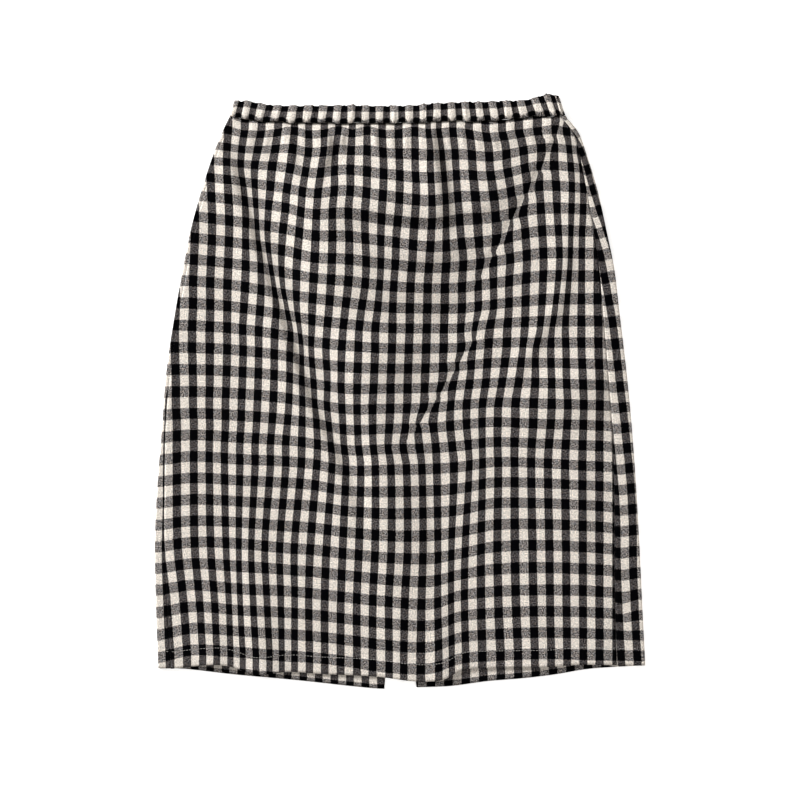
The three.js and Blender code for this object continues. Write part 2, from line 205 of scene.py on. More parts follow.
# Folds that run down the front: the widths of the left and the right flank, then (x, y, rise) along the
# crest. The drag folds and pleats hang over to the right, so that flank is the steep one. Where the rise
# is less than nothing, the line is the bottom of a trough.
FOLDS = {
    "left drag fold": (24, 9, (
        (-190, 266, 0), (-174, 215, 3), (-155, 150, 4.5), (-136, 93, 4.5), (-118, 44, 5), (-99, -12, 5),
        (-76, -58, 4.5), (-60, -103, 4), (-49, -140, 2), (-38, -180, 1.2), (-28, -230, 0))),
    "left drag trough": (7, 24, (
        (-181, 275, 0), (-170, 240, -2.5), (-156, 198, -3), (-122, 93, -3), (-86, -12, -2.5),
        (-54, -85, -1.5), (-35, -140, 0))),
    "right drag fold": (18, 3, (
        (165, 276, 0.5), (152, 256, 1.3), (140, 232, 1.5), (126, 207, 1.5), (109, 178, 1.5), (92, 145, 1.4),
        (79, 123, 1.2), (73, 98, 0.5), (72, 80, 0.3), (71, 60, 1), (63, 43, 1.4), (45, 12, 1.4),
        (31, -11, 1.2), (14, -33, 0.8), (-3, -57, 0))),
    "right hip fold": (14, 7, (
        (182, 215, 0), (176, 180, 1.8), (174, 150, 2.6), (172, 122, 2.6), (169, 96, 2.6), (157, 74, 2.6),
        (141, 50, 2.6), (128, 27, 2.2), (113, 6, 1.5), (94, -16, 0))),
    "pleat right of the middle": (13, 6, (
        (29, 283, 1.5), (33, 254, 3), (37, 230, 3), (41, 210, 2.6), (44, 187, 2), (44, 165, 1),
        (43, 150, 0))),
    "trough right of the middle": (5, 34, (
        (41, 283, -1.5), (45, 254, -2.6), (49, 230, -2.6), (52, 210, -2.2), (55, 187, -1.5), (56, 160, 0))),
    "pleat left of the middle": (9, 4.5, (
        (-79, 281, 1.6), (-76, 259, 2.2), (-78, 243, 2), (-83, 227, 1.2), (-88, 205, 0))),
    "trough left of the middle": (4, 20, (
        (-74, 283, -2), (-70, 259, -3), (-72, 243, -2.5), (-77, 227, -1), (-80, 210, 0))),
    "left pleat": (8, 5, ((-116, 283, 1.5), (-116, 258, 3), (-112, 235, 2), (-108, 215, 0))),
    "small pleat": (6, 4, ((-62, 283, 1.5), (-64, 266, 2.5), (-67, 250, 0))),
    "middle pleat": (7, 4, ((-29, 283, 2), (-27, 265, 2.5), (-23, 245, 1), (-21, 230, 0))),
    "lower middle wave": (20, 40, (
        (-30, 0, 0), (-26, -50, 2.5), (-22, -100, 4.5), (-15, -150, 5), (-8, -200, 3.5), (0, -260, 1.5),
        (2, -303, 0.5))),
    "lower middle trough": (8, 20, (
        (33, -45, 0), (36, -90, -3), (37, -125, -4), (37, -156, -3.5), (37, -219, -1), (37, -282, 0))),
    "lower left wave": (13, 15, (
        (-172, -60, 0), (-163, -140, 1.5), (-152, -215, 2), (-142, -297, 2.5))),
    "left hem wave": (14, 14, ((-206, -160, 0), (-202, -230, 1.2), (-197, -288, 2))),
    "lower right bunch": (10, 13, (
        (66, -70, 0), (56, -125, 1.2), (46, -180, 1.4), (42, -240, 1.6), (42, -302, 2))),
    "right side wave": (30, 10, (
        (186, -40, 0), (188, -90, 2), (188, -150, 2), (186, -200, 1), (184, -240, 0))),
    "right hem wave": (20, 20, ((146, -150, 0), (148, -220, 1), (152, -289, 1.5))),
}

# Swags that hang across: the widths below and above, then (x, y, rise).
SWAGS = {
    "upper trough": (18, 6, (
        (-60, 187, 0), (-39, 180, -3), (-7, 176, -4), (21, 172, -4), (56, 178, -3), (85, 183, -2),
        (108, 190, 0))),
    "middle trough": (14, 8, ((-50, 140, 0), (-20, 132, -1.5), (10, 128, -2), (45, 130, -1.5), (75, 138, 0))),
    "lower trough": (28, 12, (
        (-75, 90, 0), (-40, 88, -1), (-7, 84, -1.8), (31, 77, -2.2), (65, 82, -3), (85, 90, 0))),
    "right shoulder": (46, 30, ((105, -6, 0), (160, 2, 5), (190, 8, 5.5), (215, 8, 3), (235, 8, 0))),
}

# Where the dark columns of the check lie on the front at each level, by column number. Columns that
# are left out lie evenly between the ones beside them.
COLUMN_LINES = {
    274: {4: -180, 8: -110, 9: -96, 10: -79, 12: -50, 14: -19, 16: 16, 17: 30, 18: 40, 19: 55, 23: 124,
          24: 144, 25: 163, 26: 174},
    254: {4: -181, 5: -166, 6: -149, 8: -112, 10: -79, 11: -68, 12: -51, 14: -18, 16: 16, 17: 32, 18: 43,
          19: 57, 23: 129, 24: 148, 25: 162, 26: 178, 27: 187},
    235: {4: -181, 5: -167, 6: -153, 7: -134, 8: -114, 10: -82, 11: -69, 12: -52, 14: -17, 16: 16, 17: 32,
          18: 45, 19: 58, 22: 112, 23: 131, 25: 162, 26: 180, 27: 190},
    212: {4: -180, 5: -163, 6: -153, 7: -136, 8: -118, 12: -52, 16: 17, 17: 33, 18: 47, 19: 59, 22: 116,
          23: 133, 24: 146, 25: 164, 26: 181, 27: 191},
    188: {4: -179, 5: -161, 6: -151, 7: -139, 8: -120, 12: -54, 16: 16, 17: 34, 18: 48, 19: 61, 21: 100,
          22: 118, 23: 129, 24: 148, 25: 165, 26: 180, 27: 191},
    164: {2: -215, 4: -179, 5: -161, 6: -149, 7: -140, 8: -123, 12: -53, 14: -20, 15: -4, 16: 14, 17: 33,
          18: 48, 19: 63, 21: 101, 22: 114, 25: 167, 26: 179, 27: 190, 28: 207},
    138: {2: -216, 4: -180, 5: -161, 6: -146, 7: -137, 8: -125, 9: -108, 10: -89, 13: -35, 14: -20, 15: -5,
          16: 13, 20: 84, 21: 98, 25: 168, 26: 178, 27: 190, 28: 207},
    112: {2: -217, 4: -181, 5: -162, 6: -145, 7: -132, 8: -124, 9: -109, 12: -54, 13: -36, 14: -21, 15: -7,
          19: 65, 20: 82, 22: 114, 24: 150, 25: 166, 26: 176, 27: 190, 28: 207},
    88: {2: -217, 4: -181, 7: -129, 8: -119, 9: -109, 10: -92, 11: -74, 14: -23, 15: -8, 19: 65, 20: 82,
         22: 114, 24: 149, 25: 163, 26: 174, 27: 190, 28: 207},
    65: {2: -218, 4: -181, 5: -165, 8: -114, 9: -106, 10: -93, 14: -26, 19: 64, 20: 79, 21: 94, 23: 131,
         24: 147, 25: 159, 26: 173, 27: 190, 28: 208},
    44: {2: -218, 4: -181, 8: -115, 9: -103, 10: -94, 12: -61, 16: 9, 19: 64, 20: 76, 21: 92, 22: 112,
         23: 129, 24: 142, 25: 158, 27: 190, 28: 208},
    10: {2: -217, 4: -182, 7: -132, 8: -115, 9: -103, 10: -91, 11: -76, 12: -62, 15: -10, 17: 26, 18: 44,
         19: 56, 22: 107, 25: 159, 26: 174, 28: 209},
    -13: {2: -217, 4: -183, 8: -116, 9: -102, 11: -77, 12: -61, 14: -29, 15: -10, 17: 25, 18: 38, 19: 53,
          20: 70, 22: 103, 23: 121, 25: 159, 28: 209},
    -35: {2: -216, 4: -183, 8: -118, 10: -87, 11: -75, 12: -60, 14: -29, 15: -11, 16: 6, 17: 19, 18: 35,
          20: 70, 22: 102, 23: 121, 25: 158, 28: 209},
    -57: {2: -216, 4: -184, 8: -120, 10: -86, 12: -59, 14: -28, 16: 3, 20: 72, 21: 86, 22: 102, 25: 156,
          28: 209},
    -78: {2: -216, 4: -184, 7: -136, 11: -71, 12: -57, 13: -41, 14: -26, 17: 23, 18: 38, 19: 57, 20: 73,
          21: 86, 23: 120, 25: 155, 28: 209},
    -163: {2: -215, 4: -182, 6: -156, 7: -142, 8: -126, 9: -111, 10: -94, 12: -60, 16: 8, 18: 40, 20: 68,
           22: 102, 24: 139, 28: 209},
    -219: {1: -227, 2: -210, 4: -179, 5: -168, 6: -154, 10: -96, 12: -62, 16: 5, 18: 40, 20: 67, 22: 103,
           24: 140, 28: 209},
    -275: {1: -223, 2: -206.5, 3: -192, 4: -177.5, 5: -165, 6: -151, 7: -136.5, 8: -124, 9: -111, 10: -95,
           11: -79, 12: -62.5, 13: -45, 14: -29, 15: -11, 16: 3.5, 17: 21.5, 18: 41.5, 19: 54, 20: 68.5,
           21: 86, 22: 105.5, 23: 124, 24: 141.5, 28: 209},
}
COLUMN_NUMBERS = range(1, 31)

# Past its outermost lines, each level goes on evenly for this many columns.
COLUMNS_BEYOND = 10

# Where the dark rows of the check lie: their y at each station across, by row number.
ROW_STATIONS = (-252, -217, -172, -122, -91, -56, -14, 32, 63, 98, 147, 196, 245)
ROW_LINES = {
    0: (282, 278, 274, 274, 271, 272, 270, 271, 270, 267, 273, 271, 269),
    1: (264, 261, 255, 255, 251, 253, 250, 247, 248, 246, 255, 252, 249),
    2: (247, 243, 240, 235, 228, 232, 227, 223, 227, 226, 237, 234, 231),
    3: (233, 227, 221, 213, 207, 210, 204, 199, 204, 205, 216, 213, 211),
    4: (210, 206, 201, 193, 185, 186, 179, 175, 180, 183, 192, 191, 189),
    5: (188, 184, 178, 171, 163, 162, 157, 151, 154, 158, 168, 168, 167),
    6: (164, 161, 156, 148, 140, 138, 133, 129, 131, 136, 145, 145, 145),
    8: (117, 116, 111, 102, 98, 93, 88, 87, 87, 91, 96, 97, 97),
    10: (70, 69, 66, 59, 52, 48, 45, 45, 46, 51, 51, 51, 50),
    12: (23, 23, 21, 16, 8, 3, 3, 4, 7, 9, 9, 7, 5),
    14: (-25, -23, -25, -29, -33, -40, -39, -38, -35, -32, -34, -35, -38),
    16: (-72, -68, -71, -73, -76, -83, -82, -81, -79, -74, -75, -78, -80),
    18: (-117, -113, -115, -118, -120, -125, -128, -127, -124, -117, -117, -119, -123),
    20: (-163, -158, -159, -164, -166, -170, -174, -175, -170, -163, -161, -163, -167),
    22: (-208, -203, -207, -209, -212, -216, -220, -223, -214, -210, -208, -209, -213),
    25: (-279, -271, -273, -277, -279, -283, -289, -290, -280, -277, -275, -276, -277),
}

# Above the first of them the rows lie closer.
TOP_ROW_SPACING = 17.25

# The waves that the gathers put in the rows just under the seam, as (x, y), and how far down they reach.
GATHERED_ROWS = (
    (-180, 0), (-164, -5), (-145, -6), (-128, -3.6), (-110, 0), (-96, -2.5), (-79, -1), (-64, 1.7),
    (-50, -1.6), (-34, 2.6), (-19, 0), (-2, 0), (15, 2.3), (29, -0.6), (56, 2.2), (73, 1), (88, -0.6),
    (106, 0), (144, -0.5), (164, 2), (174, 0),
)
GATHERED_DEPTH = 28

RIGHT_CREASE = (
    (283, 171, 0.38), (256, 158, 0.28), (232, 147, 0.27), (207, 133, 0.3), (193, 125, 0.38), (178, 116, 0.4),
    (163, 110, 0.36), (145, 99, 0.28), (123, 85, 0.15), (108, 79, 0.03), (88, 81, 0.03), (68, 81, 0.15),
    (54, 77, 0.25), (43, 70, 0.3), (12, 51, 0.3), (-33, 21, 0.3), (-41, 15, 0.2), (-57, 4, 0),
)
CREASE_WIDTH = 1.6

# The dark columns of the band's check, as (x at its top edge, x at its seam), and their numbers.
BAND_COLUMNS = (
    (-165.4, -169.6), (-152.6, -156.1), (-136, -140.4), (-120, -124), (-103.7, -106), (-87.4, -90.5),
    (-72.2, -74.8), (-58, -59.5), (-43.3, -44.1), (-28.9, -29), (-13.9, -14.4), (2, 2), (17.1, 17.3),
    (30.8, 30.8), (46.2, 46.5), (60.7, 62.5), (75.2, 77.5), (88.6, 91.9), (103.7, 107.3), (118.4, 122.1),
    (133.2, 138.6), (147.4, 156), (159.4, 166),
)
BAND_NUMBERS = range(4, 27)
BAND_SPACING = 15

# From 0 at the casing's seam to 1 at its top edge: the bulge of its front, and the row numbers of its check.
BAND_PROFILE = ((0, 1), (0.15, 2.6), (0.4, 2.5), (1, 0))
BAND_ROWS = ((0, -0.94), (0.27, -1.25), (0.62, -1.75), (1, -2.15))

STRIP_COLUMN = (
    (280, 23.5), (254, 18), (212, 18), (190, 16.5), (170, 13.7), (147, 12), (122, 11.8), (99, 10.2),
    (75, 8.8), (10, 8.5), (-17, 7.9), (-59, 6.9), (-101, 5.8), (-144, 6.3), (-187, 8), (-288, 8.2),
)
STRIP_SPACING = 17
STRIP_TOP_SPACING = 13
STRIP_NARROWS = (100, 170)

# How far the strip's rows lie below the front's where they meet at the seam, as (y, distance). That grows
# from nothing near the fold, between two shares of the way to the seam.
STRIP_DROP = (
    (270, 1.5), (240, 2.2), (200, 2.9), (150, 2.4), (124, 2.7), (101, 1.9), (49, 1.5), (-17, 2.1), (-59, 2.5),
    (-120, 3), (-166, 3.5), (-210, 4), (-233, 5.2), (-256, 0.3), (-288, 0),
)
STRIP_DROP_SHARES = (0.1, 0.8)

# On the left strip a pale column ends this far inside the fold, as (y, distance), three quarters of the way
# from one dark column to the next. Between two levels the check goes over to the front's, which runs on
# across the seam above them.
LEFT_STRIP_PALE = ((-288, 8.4), (-166, 7.5), (-119, 7), (-56, 3.2), (-19, 2), (10, 1))
LEFT_STRIP_SPACING = 16.6
LEFT_STRIP_LEVELS = (-10, 20)
PALE_END = 0.75

# The back's check where it lies flat, for the left and the right half: its first dark column from the
# middle, the spacing of its columns and how far the dark row along its hem lies above the edge. Then the
# number of that row, the spacing of the rows, and the share of the way to the fold at which they start to
# go over to the front's rows.
BACK_CHECK = {-1: (20, 16.3, -1), 1: (32.6, 18.3, 0.5)}
HEM_ROW = 26
BACK_ROW_SPACING = 22.3
NEAR_FOLD = 0.75

# ---------------------------------------------------------------- curves and relief


def lerp(a, b, f):
    return a + (b - a) * f


def smoothstep(value, low, high):
    f = np.clip((value - low) / (high - low), 0, 1)
    return f * f * (3 - 2 * f)


def flank(distance, width):
    """1 at no distance, falling to nothing over about twice the width."""
    return np.exp(-((distance / width) ** 2))


def curve(keys, values):
    """A smooth curve through points, as a function of the first list, flat past its ends."""
    order = np.argsort(keys)
    k = np.asarray(keys, float)[order]
    v = np.asarray(values, float)[order]
    before = np.maximum(np.arange(len(k)) - 1, 0)
    after = np.minimum(np.arange(len(k)) + 1, len(k) - 1)
    slope = (v[after] - v[before]) / (k[after] - k[before])

    def at(place):
        p = np.clip(place, k[0], k[-1])
        i = np.clip(np.searchsorted(k, p, side="right") - 1, 0, len(k) - 2)
        span = k[i + 1] - k[i]
        f = (p - k[i]) / span
        bend = f * (1 - f) * span
        return lerp(v[i], v[i + 1], f * f * (3 - 2 * f)) + bend * ((1 - f) * slope[i] - f * slope[i + 1])

    return at


def through(points, item=1):
    """The curve of one item of the points by their first."""
    return curve([point[0] for point in points], [point[item] for point in points])


side = {name: through(SIDE_LEVELS, i) for i, name in enumerate(SIDE_COLUMNS)}
top_level = dict(zip(SIDE_COLUMNS, SIDE_LEVELS[0]))
hem_level = dict(zip(SIDE_COLUMNS, SIDE_LEVELS[-1]))
waist_y = through(WAIST_SEAM)
front_hem_y = through(FRONT_HEM)
back_hem_y = through(BACK_HEM)
left_crease_x = through(LEFT_CREASE)
right_crease_x = through(RIGHT_CREASE)
crease_loss = through(RIGHT_CREASE, 2)
yoke_profile = through(YOKE_PROFILE)
yoke_drop = through(YOKE_DROP)
yoke_step = through(YOKE_STEP)
gathered_rows = through(GATHERED_ROWS)
band_top_y = through(BAND_TOP)
band_profile = through(BAND_PROFILE)
band_row = through(BAND_ROWS)
strip_column = through(STRIP_COLUMN)
strip_drop = through(STRIP_DROP)
left_strip_pale = through(LEFT_STRIP_PALE)


def seam_y(x):
    """The seam under the band, which the gathers push up and down."""
    scallop = SEAM_SCALLOP * (0.5 - ripple(band_column(x, 0)))
    return waist_y(x) + scallop + SEAM_WAVE * (np.sin(x / 4.3) + 0.7 * np.sin(x / 7.1 + 1))


def back_waist_y(x):
    place = x / BACK_WAIST_HALF
    return BACK_WAIST_MIDDLE + BACK_WAIST_RISE * place ** 2 + BACK_WAIST_TILT * place


def slit_opening(y):
    """How far the slit has opened at a level, from 0 at its top to 1 at the hem."""
    return np.clip((SLIT_TOP - y) / (SLIT_TOP - hem_level["y"]), 0, 1)


def ridge(points, along, before, after):
    """The rise of one fold at (x, y): along is 1 where its crest runs down, 0 where it runs across."""
    over = 1 - along
    keys = [point[along] for point in points]
    line = curve(keys, [point[over] for point in points])
    rise = curve(keys, [point[2] for point in points])
    start, end = min(keys), max(keys)

    def at(x, y):
        place = (x, y)
        lean = (line(place[along] + 1) - line(place[along] - 1)) / 2
        distance = (place[over] - line(place[along])) / np.hypot(1, lean)
        beyond = np.maximum(np.maximum(start - place[along], place[along] - end), 0)
        width = np.where(distance < 0, before, after)
        return rise(place[along]) * flank(distance, width) * flank(beyond, width)

    return at


ridges = [ridge(points, 1, left, right) for left, right, points in FOLDS.values()]
ridges += [ridge(points, 0, below, above) for below, above, points in SWAGS.values()]


def ripple(column):
    """The gathers: 0 in the groove at each dark column of the band's check, up to 1 between them."""
    size = 0.8 + 0.2 * np.sin(1.7 * column + 1)
    return size * (0.5 - 0.5 * np.cos(2 * math.pi * column))


def numbered(x, numbers, places, spacing):
    """The number at x among lines that lie at the places, with even spacing before the first."""
    value = numbers[0] + (x - places[0]) / spacing
    for number, ahead, place, limit in zip(numbers, numbers[1:], places, places[1:]):
        value = np.where(x >= place, lerp(number, ahead, (x - place) / (limit - place)), value)
    return value


def band_column(x, height=0.5):
    """The column number of the band's check, from the seam at height 0 to the top edge at 1."""
    return numbered(x, BAND_NUMBERS, [lerp(low, high, height) for high, low in BAND_COLUMNS], BAND_SPACING)


def puckers(column, height):
    """Small slanting creases, from 0 to 1, where the elastic draws the casing up."""
    wave = np.sin(11.3 * column + 3 * height) + np.sin(19.1 * column - 2.5 * height + 2)
    return np.clip(wave / 2, 0, 1) * (0.6 + 0.4 * np.sin(2.3 * column))


def slack(x, y):
    """Low unevenness of cloth that lies free, in crossing waves that don't repeat over the skirt."""
    broad = np.sin(x / 31 + 0.6 * np.sin(y / 53)) * np.sin(y / 47 + 1.3)
    fine = np.sin(x / 13 + y / 67 + 2) * np.sin(y / 39 + x / 90)
    return BROAD_SLACK * broad + FINE_SLACK * fine


def yoke(x, y):
    """The rise of the cloth between the two drag folds, which is 0 at each crease."""
    step = lerp(1, yoke_step(x), smoothstep(y, *YOKE_STEP_LEVELS))
    inside = smoothstep(x - left_crease_x(y), 0, YOKE_SLOPE) * step
    inside *= 1 - flank(np.maximum(right_crease_x(y) - x, 0), yoke_drop(y))
    return inside * yoke_profile(np.maximum(waist_y(x) - y, 0))


def front_height(x, y, column):
    """The height of the front's middle layer. The column number gives each gather its own length."""
    depth = np.maximum(seam_y(x) - y, 0)
    inside_left = x - side["left_seam"](y)
    inside_right = side["right_seam"](y) - x
    free = smoothstep(inside_left, 0, LEFT_MARGIN) * smoothstep(inside_right, 0, RIGHT_MARGIN)
    roll = (side["loft"](y) - UPPER_LAYER) * flank(np.minimum(inside_left, inside_right), SIDE_ROLL_WIDTH)
    settle = (BAND_UPPER - UPPER_LAYER) * flank(depth, SETTLE_LENGTH)
    puff = PUFF_RISE * (1 - np.exp(-depth / PUFF_START)) * flank(depth, PUFF_LENGTH)
    length = GATHER_LENGTH + GATHER_LENGTH_SPREAD * np.sin(1.3 * np.round(column) + 0.7)
    gathers = GATHER_RISE * ripple(column) * flank(depth, length)
    relief = sum(rise(x, y) for rise in ridges)
    above_stitches = y - front_hem_y(x) - HEM_DEPTH
    hem = HEM_STEP * smoothstep(-above_stitches, -HEM_STEP_TOP, -HEM_STEP_FOOT)
    lift = puff + gathers + relief + hem + yoke(x, y) + slack(x, y) + FREE_LIFT
    lift = lift * (1 - SEAM_HOLD * flank(depth, SEAM_HOLD_LENGTH))
    kept = (lift + np.hypot(lift, LOW_SOFTNESS)) / 2
    seam = SEAM_DEPTH * flank(depth, SEAM_WIDTH)
    return UPPER_LAYER + np.maximum(roll, free * settle) + free * (kept - seam)


# ---------------------------------------------------------------- the lie of the check


def column_lines():
    """The place of each dark column across the front, as a function of the level."""
    levels = sorted(COLUMN_LINES)
    places = []
    for level in levels:
        lines = COLUMN_LINES[level]
        first, last = min(lines), max(lines)
        numbers = [first - COLUMNS_BEYOND] + sorted(lines) + [last + COLUMNS_BEYOND]
        beyond = COLUMNS_BEYOND * CHECK_WIDTH
        x = [lines[first] - beyond] + [lines[number] for number in sorted(lines)] + [lines[last] + beyond]
        places.append(np.interp(COLUMN_NUMBERS, numbers, x))
    return [curve(levels, list(place)) for place in zip(*places)]


def swallowed(x, y):
    """How many columns the right drag fold has swallowed on the way across to a point."""
    return crease_loss(y) * smoothstep(x - right_crease_x(y), -CREASE_WIDTH, CREASE_WIDTH)


def column_at(x, y):
    """The column number of the check at points of the front: whole numbers are dark."""
    lines = [line(y) for line in column_lines()]
    numbers = [number - swallowed(place, y) for number, place in zip(COLUMN_NUMBERS, lines)]
    return numbered(x, numbers, lines, CHECK_WIDTH) + swallowed(x, y)


def row_at(x, y):
    """The row number of the check at points of the front: whole numbers are dark."""
    y = y - gathered_rows(x) * flank(seam_y(x) - y, GATHERED_DEPTH)
    numbers = sorted(ROW_LINES)
    heights = np.stack([curve(ROW_STATIONS, ROW_LINES[n])(x) for n in numbers])
    first, last = heights[0], heights[-1]
    value = numbers[0] - (y - first) / TOP_ROW_SPACING
    for above, below, high, low in zip(numbers, numbers[1:], heights, heights[1:]):
        value = np.where(y < high, above + (below - above) * (high - y) / (high - low), value)
    return np.where(y < last, numbers[-1] + (last - y) / CHECK_HEIGHT, value)


# ---------------------------------------------------------------- meshes


def cloth_shell(name, points, thickness, fabric):
    """A closed thin shell around a grid of middle points, rows first, all in millimetres.

    fabric holds the check's column and row number at each point.
    """
    rows, columns = points.shape[:2]
    down = np.gradient(points, axis=0)
    along = np.gradient(points, axis=1)
    down[[0, -1], :, 2] = 0
    along[:, [0, -1], 2] = 0
    normal = np.cross(down, along)
    normal /= np.linalg.norm(normal, axis=2, keepdims=True)
    half = normal * thickness / 2
    vertices = np.concatenate([(points + half).reshape(-1, 3), (points - half).reshape(-1, 3)]) * MM

    number = np.arange(rows * columns).reshape(rows, columns)
    under = rows * columns
    a, b = number[:-1, :-1].ravel(), number[1:, :-1].ravel()
    c, d = number[1:, 1:].ravel(), number[:-1, 1:].ravel()
    rim = np.concatenate([number[0], number[1:, -1], number[-1, :-1][::-1], number[1:-1, 0][::-1]])
    ahead = np.roll(rim, -1)
    faces = np.concatenate([
        np.stack([a, b, c, d], axis=1),
        np.stack([a, d, c, b], axis=1) + under,
        np.stack([rim, ahead, ahead + under, rim + under], axis=1),
    ])
    mesh = bpy.data.meshes.new(name)
    mesh.from_pydata(vertices, [], faces)
    corners = np.tile(fabric.reshape(-1, 2), (2, 1))[faces.ravel()]
    layer = mesh.uv_layers.new(name="fabric")
    layer.data.foreach_set("uv", corners.astype(np.float32).ravel())
    smooth = np.ones(len(faces), bool)
    smooth[-len(rim):] = False
    mesh.polygons.foreach_set("use_smooth", smooth)
    return placed(name, mesh)


def placed(name, mesh):
    """The mesh as an object of the scene."""
    mesh.validate()
    piece = bpy.data.objects.new(name, mesh)
    bpy.context.collection.objects.link(piece)
    return piece


def dress(piece, node, material):
    piece.data.materials.append(material)
    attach(piece, "root")
    if node:
        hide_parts(node)


# ---------------------------------------------------------------- materials


class Nodes:
    """Short ways to add the nodes that a material needs."""

    def __init__(self, name):
        self.material = bpy.data.materials.new(name)
        self.material.use_nodes = True
        self.tree = self.material.node_tree
        self.shader = self.tree.nodes["Principled BSDF"]

    def add(self, kind, **inputs):
        node = self.tree.nodes.new(kind)
        for key, value in inputs.items():
            self.put(node.inputs[key.replace("_", " ")], value)
        return node

    def put(self, socket, value):
        if isinstance(value, bpy.types.NodeSocket):
            self.tree.links.new(value, socket)
        else:
            socket.default_value = value

    def math(self, operation, first, second=0.0, third=0.0):
        node = self.tree.nodes.new("ShaderNodeMath")
        node.operation = operation
        for socket, value in zip(node.inputs, (first, second, third)):
            self.put(socket, value)
        return node.outputs[0]

    def clamped(self, value, low, high):
        return self.math("MINIMUM", self.math("MAXIMUM", value, low), high)

    def point(self, x, y, z=0.0):
        return self.add("ShaderNodeCombineXYZ", X=x, Y=y, Z=z).outputs[0]

    def mix(self, factor, first, second, blend="MIX"):
        node = self.tree.nodes.new("ShaderNodeMix")
        node.data_type = "RGBA"
        node.blend_type = blend
        self.put(node.inputs[0], factor)
        self.put(node.inputs[6], first)
        self.put(node.inputs[7], second)
        return node.outputs[2]

    def shaded(self, color, shade):
        """A colour times one number."""
        return self.mix(1.0, color, self.point(shade, shade, shade), "MULTIPLY")

    def noise(self, vector, scale, detail=2.0):
        node = self.add("ShaderNodeTexNoise", Vector=vector, Scale=scale, Detail=detail)
        return node.outputs["Fac"]


DARK_YARN = (0.0003, 0.0003, 0.0007, 1)
PALE_YARN = (0.658, 0.61, 0.548, 1)
MIXED_WARP = (0.313, 0.295, 0.277, 1)
MIXED_WEFT = (0.12, 0.11, 0.107, 1)
BLUISH_TINT = (0.7, 1.0, 1.35, 1)
REDDISH_TINT = (1.32, 0.97, 0.7, 1)
THREAD_SHADE = (0.36, 0.35, 0.33, 1)
THREAD_LIGHT = (0.52, 0.5, 0.47, 1)

# The edges of the check waver by a share of a check. Where the yarns cross, the warp mostly lies on top.
EDGE_WAVER = 0.07
EDGE_WAVER_SCALE = 9.0
EDGE_SHARPNESS = 13.0
WARP_SHARPNESS = 3.0
WARP_BIAS = 0.62

# Streaks run along single yarns. Flecks and tints spread over a few, and the pale checks show less of them.
# The slubs of the yarns and their crossings are heights of the bump.
STREAK_LENGTH_SHARE = 0.03
STREAK_SCALE = 0.9
STREAK_DETAIL = 3.0
STREAK_GAIN = 0.55
STREAK_LEAST = 0.45
FLECK_SCALE = 0.4
FLECK_GAIN = 8.4
PALE_FLECK_GAIN = 2.2
FLECK_LEAST = 0.15
TINT_SCALE = 0.2
TINT_SHARE = 0.6
PALE_TINT_SHARE = 0.15
SLUB_HEIGHT = 0.6
CROSSING_HEIGHT = 0.5


